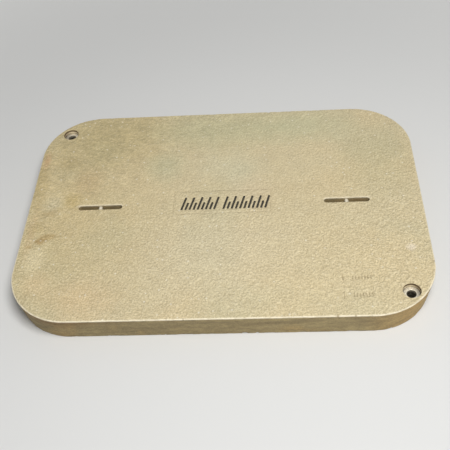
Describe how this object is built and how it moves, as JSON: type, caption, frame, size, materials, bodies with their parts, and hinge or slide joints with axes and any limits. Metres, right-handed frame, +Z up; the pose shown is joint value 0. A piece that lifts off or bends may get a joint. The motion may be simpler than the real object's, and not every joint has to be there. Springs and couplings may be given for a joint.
{
  "type": "cable pit cover",
  "caption": "Rounded rectangular polymer concrete cover for a cable pit, ribbed underneath, with pull slots for lifting and recessed bolt holes at opposite corners.",
  "frame": {"origin": "middle of the underside, on the ground that the rim, spine and ribs rest on", "axes": "+Z up out of the top face, +X along the cover's length, +Y across it, away from the viewer"},
  "size_m": [0.8994, 0.6394, 0.064],
  "materials": {
    "polymer_concrete": "matt, pebbled, sand coloured",
    "stainless_steel": "dull, worn"
  },
  "bodies": {
    "root": {"cover": "polymer_concrete", "lift_pin_left": "stainless_steel", "lift_pin_right": "stainless_steel", "bolt_bush_front_right": "stainless_steel", "bolt_bush_rear_left": "stainless_steel"}
  },
  "joints": []
}
